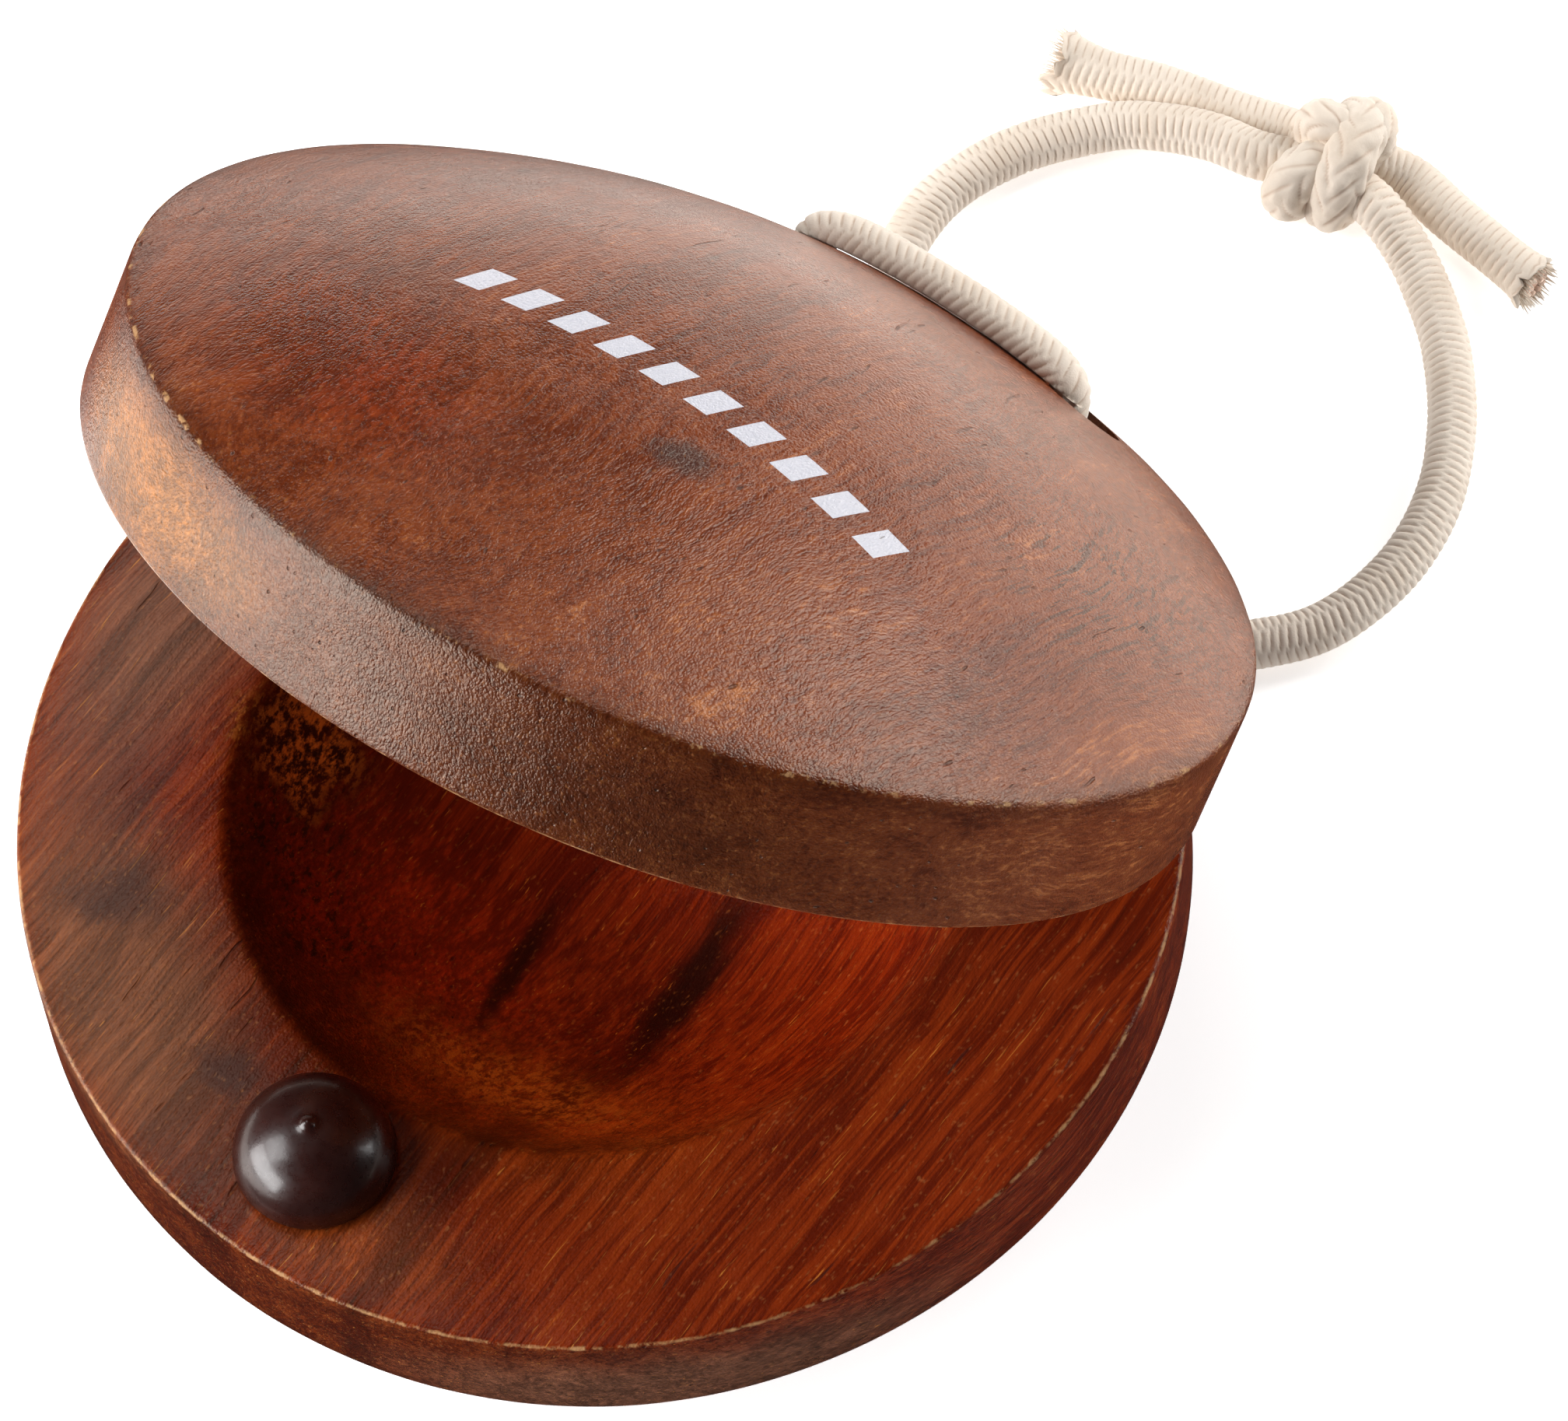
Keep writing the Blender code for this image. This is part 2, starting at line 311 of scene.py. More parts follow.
def bar_mask(g, x, y, z, bars):
    """A plain row of slanted bars on the dome."""
    across = g.math("SUBTRACT", y, bars.level)
    along = g.math("SUBTRACT", x, g.math("MULTIPLY", across, BAR_SLANT))
    cell = g.math("DIVIDE", g.math("SUBTRACT", along, bars.start), bars.pitch)
    part = g.math("ABSOLUTE", g.math("SUBTRACT", g.math("FRACT", cell), 0.5))
    return g.product(g.math("LESS_THAN", g.math("ABSOLUTE", across), bars.tall / 2),
                     g.math("LESS_THAN", part, BAR_HALF_WIDTH),
                     g.math("GREATER_THAN", cell, 0.0),
                     g.math("LESS_THAN", along, bars.stop),
                     g.math("GREATER_THAN", z, WALL_H))


def scoop_mask(g, x, y, z):
    deep = g.math("ABSOLUTE", z)
    cone = g.math("ADD", hypotenuse(g, x, y), g.math("MULTIPLY", deep, 1.2))
    return g.product(g.span(deep, 0.2, 2.5), g.span(deep, 10.5, 9.0), g.span(cone, 21.5, 19.5))


def wood(name, seed, grain, wave, tones, bands, end_tone, fibre_ends, contrast, rays, grits,
         marks, gloss, shine, relief, bars=None):
    """Satin-lacquered open-pored wood with its grain along local Y.

    grain is that axis in the assembled object, wave how far the grain wanders, fibre_ends how
    fast the fine fibres change along it (cycles a mm), rays and grits how strong those are.
    """
    g = Nodes(name)
    p = g.millimetres()
    x, y, z = g.split(p)
    offset = (seed * 3.1, seed * 7.7, seed * 1.9)
    moved = g.vector("ADD", p, wander(g, g.vector("ADD", p, offset), 0.055, 5.0 * wave))
    moved = g.vector("ADD", moved, wander(g, p, 0.35, 0.5 * wave * wave))
    q = g.vector("ADD", moved, offset)
    moved_x = g.split(moved)[0]
    end = g.math("ABSOLUTE", g.vector("DOT_PRODUCT", g.coordinates("Normal"), grain))

    # Growth bands across the grain, long and fine streaks, and the mottle of cut fibres.
    tone = g.ramp(g.span(moved_x, -SHELL_R, SHELL_R, smooth=False),
                  [(at, (value,) * 3) for at, value in bands])
    cloud = g.noise(g.vector("ADD", p, offset), 0.11, 3.0, 0.55)
    streak = stretched(g, q, 0.55, 0.03, 4.0)
    fine = stretched(g, q, 2.9, 0.10, 3.0, 0.65)
    fibre = stretched(g, q, 6.6, fibre_ends, 3.0, 0.65)
    speck = stretched(g, q, 4.0, fibre_ends * 1.4, 2.0, 0.5)
    for field, weight in ((cloud, 0.35), (streak, 0.75), (fine, 0.75), (fibre, 0.80),
                          (speck, 0.40)):
        tone = g.math("ADD", tone, g.math("MULTIPLY", g.math("SUBTRACT", field, 0.5),
                                          weight * contrast))
    colour = g.ramp(tone, tones)
    colour = g.mix(g.span(end, 0.35, 0.9), colour, g.multiplied(colour, end_tone))

    # Smoky stains, dark heart streaks and torn grain, over the broad changes of tone, some of which
    # are painted light and shade.
    torn = g.noise(g.vector("MULTIPLY", q, (2.6, 1.3, 2.6)), 1.0, 4.0, 0.7)
    for mark in sorted(marks, key=lambda m: m.kind != "broad"):
        colour = marked(g, colour, mark, p, q, tone, torn, seed)

    vessels = vessel_mask(g, q)
    colour = g.mix(g.product(vessels, 0.66), colour, g.multiplied(colour, PORE_TINT))

    # Bright rays of unstained fibre.
    ray = g.product(g.span(stretched(g, g.vector("ADD", q, (11.3, 4.7, 2.9)), 9.0, 0.28, 2.0, 0.5),
                           0.66, 0.74),
                    g.span(streak, 0.42, 0.58, 0.15, 1.0))
    grit = g.span(g.noise(g.vector("MULTIPLY", q, (5.0, 2.6, 5.0)), 1.0, 1.0, 0.5), 0.60, 0.84)
    colour = g.mix(g.product(ray, rays), colour, RAY_GOLD)
    colour = g.mix(g.product(grit, grits), colour, GRIT_GOLD)

    # Lacquer worn through along the rim's corner and, here and there, the crease under the dome.
    rub = g.noise(p, 0.8, 4.0, 0.75)
    bx, by, bz = g.split(g.vector("ADD", p, wander(g, p, 1.3, 0.22, 3.0)))
    rim = ring_distance(g, bx, by, bz, SHELL_R - 0.03, 0.0)
    crease = ring_distance(g, bx, by, g.math("ABSOLUTE", bz), SHELL_R - 0.08, WALL_H)
    worn = g.math("MAXIMUM", g.product(g.span(rim, 0.18, 0.06), g.span(rub, 0.42, 0.57)),
                  g.product(g.span(crease, 0.18, 0.06), g.span(rub, 0.52, 0.64)))
    shadow = g.product(g.span(crease, 1.5, 0.2), g.span(cloud, 0.3, 0.7, 0.15, 0.55))
    colour = g.mix(shadow, colour, g.multiplied(colour, CREASE_TINT))
    colour = g.mix(g.product(worn, 0.75), colour, BARE_WOOD)

    # Light shut in the scoop deepens its red.
    colour = g.mix(scoop_mask(g, x, y, z), colour, g.multiplied(colour, SCOOP_TINT))

    if bars:
        # The white ink is thinner over the pores.
        cover = g.math("SUBTRACT", 1.0, g.math("MULTIPLY", vessels, 0.5))
        colour = g.mix(g.product(bar_mask(g, x, y, z, bars), cover), colour, INK)

    pebble = g.cells(g.vector("MULTIPLY", g.vector("ADD", q, wander(g, q, 2.5, 0.25)),
                              (7.6, 5.0, 7.6)))[0]
    height = g.math("MULTIPLY", vessels, -1.1)
    for field, weight in ((fibre, 0.55), (speck, 0.5), (pebble, -0.50), (torn, 0.3)):
        height = g.math("ADD", height, g.math("MULTIPLY", field, weight))
    normal = g.bump(g.noise(p, 0.25, 2.0, 0.5), 0.25, 0.35)
    normal = g.bump(height, relief, 1.0, normal)
    rough = g.math("ADD", gloss, g.math("MULTIPLY", g.math("SUBTRACT", cloud, 0.5), 0.18))
    rough = g.math("ADD", rough, g.math("MULTIPLY", vessels, 0.2))
    rough = g.math("ADD", rough, g.math("MULTIPLY", worn, 0.2), clamp=True)
    g.set("Base Color", colour)
    g.set("Roughness", rough)
    g.set("Normal", normal)
    g.set("Specular IOR Level", shine)
    g.set("Specular Tint", (1.0, 0.88, 0.74))
    g.set("IOR", 1.5)
    return g.material


# ---------------------------------------------------------------- meshes

def keep_local(mesh):
    """Stores each point's place in mm, so that a material can follow the part it belongs to."""
    points = np.empty(len(mesh.vertices) * 3, np.float32)
    mesh.vertices.foreach_get("co", points)
    mesh.attributes.new("local", "FLOAT_VECTOR", "POINT").data.foreach_set("vector", points * 1000)


def piece(name, mesh, body, material, matrix=None, stands_for=()):
    """A visible piece on a body, made of one material, in the place of the named CAD nodes."""
    keep_local(mesh)
    if matrix is not None:
        mesh.transform(matrix)
    obj = link(bpy.data.objects.new(name, mesh))
    mesh.materials.clear()
    mesh.materials.append(material)
    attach(obj, body)
    if stands_for:
        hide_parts(*stands_for)
    return obj


def eased(points, corners, reach):
    """The polyline with each corner, given by its index, rounded off within reach of it."""
    count, out = 4, []
    for index, point in enumerate(points):
        if index not in corners:
            out.append(point)
            continue
        here = np.array(point)
        before, after = np.array(points[index - 1]), np.array(points[index + 1])
        r = reach * corners[index]
        a = here + (before - here) * min(0.9, r / np.linalg.norm(before - here))
        b = here + (after - here) * min(0.9, r / np.linalg.norm(after - here))
        for i in range(count + 1):
            t = i / count
            out.append(tuple(a * (1 - t) ** 2 + here * 2 * t * (1 - t) + b * t ** 2))
    return out


def shell_outline(land):
    """(radius, height) of a shell, dome up, from the scoop's centre round to the dome's."""
    scoop_rs = (SCOOP_R ** 2 + SCOOP_DEPTH ** 2) / (2 * SCOOP_DEPTH)
    points = [(scoop_rs * math.sin(a), scoop_rs * math.cos(a) - (scoop_rs - SCOOP_DEPTH))
              for a in (math.asin(SCOOP_R / scoop_rs) * i / 22 for i in range(23))]
    corners = {22: 1.0}
    points += [(SCOOP_R + (SHELL_R - SCOOP_R) * i / 8, 0.0) for i in range(1, 9)]
    corners[len(points) - 1] = 0.7
    points += [(SHELL_R, WALL_H * i / 6) for i in range(1, 7)]
    corners[len(points) - 1] = 0.8
    steps = 34
    for i in range(1, steps + 1):
        r = SHELL_R + (land - SHELL_R) * i / steps
        points.append((r, dome_z(r)))
    if land:
        corners[len(points) - 1] = 0.9
        points += [(land * (1 - i / 6), dome_z(land)) for i in range(1, 7)]
    return eased(points, corners, 0.45)


def turned(outline, segments, sign=1):
    """A closed bmesh turned about Z from an outline whose ends are on the axis.

    It points up with sign 1, and down with sign -1.
    """
    work = bmesh.new()
    rings = []
    for r, z in outline:
        if r < 1e-6:
            rings.append([work.verts.new((0, 0, sign * z * MM))])
            continue
        rings.append([work.verts.new((r * math.cos(a) * MM, r * math.sin(a) * MM, sign * z * MM))
                      for a in (2 * math.pi * i / segments for i in range(segments))])
    for one, two in zip(rings, rings[1:]):
        for i in range(segments):
            j = (i + 1) % segments
            corner = [one[i % len(one)], one[j % len(one)], two[j % len(two)], two[i % len(two)]]
            work.faces.new(list(dict.fromkeys(corner)))
    bmesh.ops.recalc_face_normals(work, faces=work.faces)
    return work


def as_mesh(work, name):
    mesh = bpy.data.meshes.new(name)
    work.to_mesh(mesh)
    work.free()
    return mesh


def cut_away(mesh, cutters):
    """The mesh less each cutter mesh, through Boolean modifiers that are applied here."""
    obj = link(bpy.data.objects.new("cutting", mesh))
    helpers = []
    for cutter in cutters:
        helper = link(bpy.data.objects.new("cutter", cutter))
        helpers.append(helper)
        boolean = obj.modifiers.new("cut", "BOOLEAN")
        boolean.operation, boolean.solver, boolean.object = "DIFFERENCE", "EXACT", helper
    graph = bpy.context.evaluated_depsgraph_get()
    made = bpy.data.meshes.new_from_object(obj.evaluated_get(graph))
    for helper in [obj, *helpers]:
        bpy.data.objects.remove(helper)
    return made


def bevel_cutter(sign):
    """What lies on the rim's side of the bevel plane behind the rocking line; dome towards sign."""
    work = bmesh.new()
    bmesh.ops.create_cube(work, size=1.0)
    bmesh.ops.scale(work, vec=Vector((80, 20, 10)) * MM, verts=work.verts)
    bmesh.ops.translate(work, vec=Vector((0, 10, -5)) * MM, verts=work.verts)
    bmesh.ops.rotate(work, matrix=Matrix.Rotation(OPEN_ANGLE / 2, 3, "X"), verts=work.verts)
    bmesh.ops.translate(work, vec=Vector((0, HINGE_Y, 0)) * MM, verts=work.verts)
    if sign < 0:
        bmesh.ops.scale(work, vec=Vector((1, 1, -1)), verts=work.verts)
        bmesh.ops.reverse_faces(work, faces=work.faces)
    return as_mesh(work, "bevel")


def drill(x, y, radius, low, high, segments, sign):
    """What a drill of this radius cuts between two heights."""
    work = turned([(0, low), (radius, low), (radius, high), (0, high)], segments, sign)
    bmesh.ops.translate(work, vec=Vector((x, y, 0)) * MM, verts=work.verts)
    return as_mesh(work, "drill")


def hand_finished(mesh, depth, seed, lowest):
    """Bends the whole mesh a little, as hand sanding leaves it; no point ends below lowest (mm)."""
    noise.seed_set(FINISH_SEED)
    points = np.empty(len(mesh.vertices) * 3)
    mesh.vertices.foreach_get("co", points)
    points = points.reshape(-1, 3)
    for index, point in enumerate(points):
        at = Vector(point) * 1000
        slow = noise.noise_vector(at * 0.07 + Vector((seed, 0, 0)))
        quick = noise.noise_vector(at * 0.35 + Vector((0, seed, 0)))
        points[index] = point + np.array(slow) * depth * MM + np.array(quick) * depth * 0.3 * MM
        points[index, 2] = max(points[index, 2], lowest * MM)
    mesh.vertices.foreach_set("co", points.ravel())


def shade(mesh, angle=32.0):
    mesh.shade_smooth()
    mesh.set_sharp_from_angle(angle=math.radians(angle))


def make_shell(sign, land, seed):
    """A shell, dome up with sign 1. The lower one has its dome down and the button's hole."""
    mesh = as_mesh(turned(shell_outline(land), 256, sign), "shell")
    cutters = [bevel_cutter(sign)]
    cutters += [drill(side * HOLE_X, HOLE_Y, HOLE_R, -3, 16, 64, sign) for side in (-1, 1)]
    if sign < 0:
        cutters.append(drill(0, BUTTON_Y, STEM_R + 0.2, -1, STEM_LEN + 0.3, 48, sign))
    mesh = cut_away(mesh, cutters)
    hand_finished(mesh, 0.05, seed, SHELL_GAP - RIM_Z)
    shade(mesh)
    return mesh


# ---------------------------------------------------------------- elastic

def smooth_path(points, step):
    """Points about a step apart on a Catmull-Rom curve through the given points."""
    pts = [Vector(p) for p in points]
    pts = [2 * pts[0] - pts[1]] + pts + [2 * pts[-1] - pts[-2]]
    path = [pts[1]]
    for a, b, c, d in zip(pts, pts[1:], pts[2:], pts[3:]):
        count = max(1, round((c - b).length / step))
        for i in range(1, count + 1):
            t = i / count
            path.append(0.5 * (2 * b + (c - a) * t + (2 * a - 5 * b + 4 * c - d) * t ** 2
                               + (3 * b - a - 3 * c + d) * t ** 3))
    return path


def carried_frames(path):
    """Tangent and two unit normals at each point, carried along without twist."""
    path = [Vector(p) for p in path]
    tangents = [(path[min(i + 1, len(path) - 1)] - path[max(i - 1, 0)]).normalized()
                for i in range(len(path))]
    normal = tangents[0].orthogonal().normalized()
    frames = []
    for i, tangent in enumerate(tangents):
        if i:
            normal = tangents[i - 1].rotation_difference(tangent) @ normal
        normal = (normal - tangent * normal.dot(tangent)).normalized()
        frames.append((tangent, normal, tangent.cross(normal)))
    return frames


COLUMNS = 6                     # of ribs round the cord
RIB_PITCH = 0.44
TEAR_REACH, FLARE_REACH = 0.9, 3.0      # how far back from a cut end it is torn, and flared


def braid(s, angle, pitch, slant, seed):
    """(height, fold) of the braid at s mm along it: ribs in columns that slant turn about."""
    column = angle / (2 * math.pi) * COLUMNS + 0.12 * noise.noise(Vector((s * 0.4, seed, 1.5)))
    index = math.floor(column)
    across = 2 * (column - index) - 1
    lean = slant * (1 if index % 2 else -1)
    shift = 0.3 * noise.noise(Vector((s * 0.5, (index % COLUMNS) * 3.7, seed)))
    phase = s / pitch + 0.5 * (index % 2) + lean * across + shift
    nearest = abs((phase % 1.0) - 0.5) * 2
    strength = 0.9 + 0.35 * noise.noise(Vector((math.floor(phase) * 1.7, (index % COLUMNS) * 5.1,
                                                seed + 4)))
    fold = max(0.0, (nearest - 0.52) / 0.48) ** 1.5 * strength
    fold *= 1.0 - 0.5 * max(0.0, abs(across) - 0.6) / 0.4
    height = 0.55 * (1 - nearest * nearest) - fold
    return height, min(1.0, fold)


def capped(work, ring, centre, facing_back):
    """Closes a ring with a fan of triangles to its centre."""
    tip = work.verts.new(centre)
    for i, vert in enumerate(ring):
        tri = (vert, ring[(i + 1) % len(ring)], tip)
        work.faces.new(tri[::-1] if facing_back else tri)


def skinned(work, rings):
    """Faces between each ring of points and the next."""
    for one, two in zip(rings, rings[1:]):
        for i in range(len(one)):
            j = (i + 1) % len(one)
            work.faces.new((one[i], one[j], two[j], two[i]))


def braided_tube(name, path, radius, pitch=RIB_PITCH, slant=0.20, depth=0.065, sides=36,
                 seed=0.0, start=0.0, torn=False, flare=0.0, squash=None):
    """A closed braided tube along path (mm), with a 'fold' value where its ribs meet, which the
    elastic's material turns into painted shade.

    radius may be a function of the share of the way along. A torn tube has its far end open,
    frayed and flared. squash moves each point off whatever the tube is pressed against.
    """
    frames = carried_frames(path)
    lengths = [0.0]
    for a, b in zip(path, path[1:]):
        lengths.append(lengths[-1] + (Vector(b) - Vector(a)).length)
    total = lengths[-1]
    work = bmesh.new()
    layer = work.verts.layers.float.new("fold")
    rings = []
    for point, (tangent, normal, across), s in zip(path, frames, lengths):
        r = radius(s / total) if callable(radius) else radius
        gap = total - s
        ring = []
        for i in range(sides):
            angle = 2 * math.pi * i / sides
            height, fold = braid(s + start, angle, pitch, slant, seed)
            swell = noise.noise(Vector((s * 0.35, math.cos(angle), math.sin(angle) + seed))) * 0.03
            offset = normal * math.cos(angle) + across * math.sin(angle)
            place = Vector(point) + offset * (r * (1 + swell) + depth * height)
            if torn and gap < TEAR_REACH:
                tear = noise.noise(Vector((angle * 2.1, seed + 1, 0.5))) * 0.9
                tear += noise.noise(Vector((angle * 5.3, seed, 2.5))) * 0.45
                pull = (1 - gap / TEAR_REACH) ** 2
                place += tangent * tear * pull
                place += offset * pull * 0.12 * (1 + math.sin(angle * 3 + seed))
            if torn and gap < FLARE_REACH:
                place += offset * flare * (1 - gap / FLARE_REACH) ** 2
            if squash:
                place = squash(place, Vector(point))
            vert = work.verts.new(place * MM)
            vert[layer] = fold
            ring.append(vert)
        rings.append(ring)
    middles = [sum((v.co for v in ring), Vector()) / sides for ring in (rings[0], rings[-1])]
    if torn:
        # The end is hollow: a lip turns in, and its floor lies a little way down the tube.
        edge, centre, inward = rings[-1], middles[1], frames[-1][0] * -MM
        for scale, sink in ((0.78, 0.08), (0.70, 0.28)):
            rings.append([work.verts.new(centre + (v.co - centre) * scale + inward * sink)
                          for v in edge])
        middles[1] = centre + inward * 0.24
    skinned(work, rings)
    capped(work, rings[0], middles[0], True)
    capped(work, rings[-1], middles[1], False)
    bmesh.ops.recalc_face_normals(work, faces=work.faces)
    mesh = as_mesh(work, name)
    mesh.shade_smooth()
    return mesh


def joined(name, meshes):
    """One mesh of several, keeping the fold layer."""
    work = bmesh.new()
    for mesh in meshes:
        work.from_mesh(mesh)
        bpy.data.meshes.remove(mesh)
    return as_mesh(work, name)


def plain_tube(path, radii, sides=6):
    """A thin closed tube through path (mm) with a radius at each point."""
    work = bmesh.new()
    layer = work.verts.layers.float.new("fold")
    frames = carried_frames(path)
    rings = []
    for point, (_, normal, across), r in zip(path, frames, radii):
        rings.append([work.verts.new((Vector(point) + (normal * math.cos(a) + across * math.sin(a))
                                      * r) * MM)
                      for a in (2 * math.pi * i / sides for i in range(sides))])
    for ring in rings:
        for vert in ring:
            vert[layer] = 0.1
    skinned(work, rings)
    work.faces.new(rings[0][::-1])
    work.faces.new(rings[-1])
    bmesh.ops.recalc_face_normals(work, faces=work.faces)
    mesh = as_mesh(work, "fibre")
    mesh.shade_smooth()
    return mesh


def elastic_material():
    g = Nodes("elastic_braid")
    p = g.millimetres()
    fold = g.attribute("fold")
    broad = g.noise(p, 0.35, 3.0, 0.6)
    yarn = g.noise(g.vector("MULTIPLY", p, (9.0, 9.0, 9.0)), 1.0, 3.0, 0.65)
    colour = g.ramp(broad, [(0.25, (0.68, 0.57, 0.46)), (0.6, (0.75, 0.65, 0.545)),
                            (0.85, (0.79, 0.71, 0.61))])
    colour = g.mix(g.span(yarn, 0.35, 0.8, 0.0, 0.22), colour, (0.78, 0.71, 0.63))
    # Painted shade: the braid is darkened where its ribs meet, as shade falls in the folds.
    colour = g.mix(g.span(fold, 0.1, 1.0, 0.0, 0.70), colour, (0.44, 0.27, 0.165))
    g.set("Base Color", colour)
    g.set("Roughness", 0.78)
    g.set("Sheen Weight", 0.25)
    g.set("Sheen Roughness", 0.5)
    g.set("Normal", g.bump(yarn, 0.03, 0.6))
    return g.material


def rubber_material():
    g = Nodes("rubber_core")
    p = g.millimetres()
    spots = g.noise(p, 3.0, 3.0, 0.6)
    g.set("Base Color", g.ramp(spots, [(0.3, (0.60, 0.38, 0.28)), (0.7, (0.78, 0.60, 0.48))]))
    g.set("Roughness", 0.6)
    g.set("Normal", g.bump(spots, 0.05, 0.6))
    return g.material


# ---------------------------------------------------------------- build

def build_shells():
    smoke, black, soot = (0.045, 0.016, 0.012), (0.012, 0.002, 0.001), (0.050, 0.010, 0.004)
    painted_glow_amber, painted_lit_tan, painted_shade_umber = (0.160, 0.018, 0.002), (0.36, 0.135, 0.026), (0.034, 0.0065, 0.0020)
    clay_and_painted_sheen, chestnut, painted_sheen_brown = (0.14, 0.055, 0.030), (0.26, 0.058, 0.010), (0.19, 0.068, 0.028)
    straw, copper = (0.60, 0.20, 0.030), (0.42, 0.105, 0.012)
    painted_light_garnet, painted_light_russet = (0.30, 0.022, 0.0016), (0.26, 0.042, 0.0035)
    upper = wood(
        "wood_upper", seed=1.0, grain=UPPER.to_3x3() @ Vector((0, 1, 0)), wave=1.0,
        tones=[(0.0, (0.028, 0.0045, 0.001)), (0.34, (0.105, 0.016, 0.0025)),
               (0.62, (0.185, 0.036, 0.007)), (1.0, (0.40, 0.125, 0.032))],
        bands=[(0.0, 0.50), (0.2, 0.44), (0.35, 0.5), (0.5, 0.46), (0.62, 0.56), (0.78, 0.6),
               (0.88, 0.52), (1.0, 0.6)],
        end_tone=(0.50, 0.50, 0.42), fibre_ends=0.7, contrast=0.95, rays=0.12, grits=0.26,
        marks=[Mark((4.2, -12.4, 13.0), (2.4, 1.5, 9.0), 20, smoke, 0.85, ""),
               Mark((-12.5, -10.6, 12.0), (4.5, 3.0, 9.0), -20, smoke, 0.35, ""),
               Mark((19.5, 4.0, 11.0), (8.0, 12.0, 9.0), 0, soot, 0.9, "dashes"),
               # Painted light: a deep orange glow over the dome's front left, where no sheen falls.
               Mark((-11.0, -18.5, 11.5), (13.0, 8.5, 5.0), -25, painted_glow_amber, 0.85, "broad"),
               # Painted light: the wall's left front made a light tan, as lit by the front-left
               # lamp.
               Mark((-15.0, -23.5, 3.0), (13.0, 7.0, 4.2), -32, painted_lit_tan, 0.6, "broad"),
               # Painted shade: the wall's right front darkened, away from the lamps.
               Mark((12.0, -25.5, 3.0), (14.0, 5.0, 4.4), 22, painted_shade_umber, 0.6, "broad")],
        gloss=0.27, shine=0.47, relief=0.056, bars=Bars(-11.2, 14.2, -8.0, 2.2, 2.55))
    lower = wood(
        "wood_lower", seed=5.0, grain=Vector((0, 1, 0)), wave=0.45,
        tones=[(0.0, (0.014, 0.0012, 0.0004)), (0.34, (0.080, 0.0062, 0.0008)),
               (0.62, (0.180, 0.020, 0.0020)), (1.0, (0.42, 0.100, 0.012))],
        bands=[(0.0, 0.55), (0.16, 0.55), (0.3, 0.42), (0.42, 0.40), (0.475, 0.36), (0.5, 0.48),
               (0.58, 0.46), (0.61, 0.30), (0.64, 0.50), (0.75, 0.52), (0.8, 0.44), (0.9, 0.50),
               (1.0, 0.46)],
        end_tone=(0.60, 0.80, 0.80), fibre_ends=0.16, contrast=0.85, rays=0.55, grits=0.25,
        marks=[Mark((-16.3, -16.8, 0.0), (3.8, 2.6, 9.0), 30, smoke, 0.75, ""),
               Mark((-6.0, -21.0, 0.0), (2.6, 1.7, 9.0), 0, smoke, 0.8, ""),
               Mark((-19.5, -12.5, 0.0), (3.0, 5.0, 9.0), 20, smoke, 0.4, ""),
               Mark((6.4, -2.5, -8.0), (1.7, 9.0, 12.0), 9, black, 0.92, ""),
               Mark((-1.0, -6.5, -7.0), (0.9, 6.5, 12.0), 12, black, 0.88, ""),
               Mark((-12.0, -9.0, -4.0), (5.0, 5.0, 12.0), 0, black, 0.8, "dashes"),
               Mark((-15.0, -4.6, -2.5), (4.6, 4.6, 6.0), 0, black, 0.9, ""),
               Mark((-15.0, -4.6, -2.5), (4.2, 4.2, 6.0), 0, straw, 1.0, "torn"),
               Mark((3.5, -12.5, -4.5), (10.0, 3.2, 6.0), 4, copper, 0.9, "torn"),
               Mark((-8.5, -12.5, -4.5), (5.5, 4.0, 6.0), 30, black, 0.8, "dashes"),
               Mark((19.5, -19.5, -5.2), (22.0, 8.0, 5.2), 45, clay_and_painted_sheen, 0.9, "broad"),
               Mark((3.0, -24.0, 0.0), (9.0, 5.0, 3.0), 0, chestnut, 0.5, "broad"),
               # Painted sheen: the rim's left lightened to a soft brown, as if lit from above.
               Mark((-23.5, -1.0, 0.0), (6.5, 18.0, 3.0), 6, clay_and_painted_sheen, 0.9, "broad"),
               # Painted sheen: the rim's front left lightened to a soft brown as well.
               Mark((-13.0, -20.5, 0.0), (15.0, 7.5, 3.0), -32, painted_sheen_brown, 0.85, "broad"),
               # Painted light: the middle of the scoop lightened to a brighter red.
               Mark((-6.0, -9.0, -5.5), (11.0, 8.5, 7.0), 0, painted_light_garnet, 0.75, "broad"),
               # Painted light: the front of the scoop lightened to an orange red, as lit as the rim
               # beside it.
               Mark((4.0, -14.0, -3.0), (17.0, 8.0, 6.5), 8, painted_light_russet, 0.8, "broad")],
        gloss=0.30, shine=0.24, relief=0.035)
    piece("upper_shell_turned", make_shell(1, 0.0, 3.0), "upper",
          upper, UPPER, ["upper_shell"])
    piece("lower_shell_turned", make_shell(-1, LAND_R, 8.0), "lower",
          lower, LOWER, ["lower_shell"])


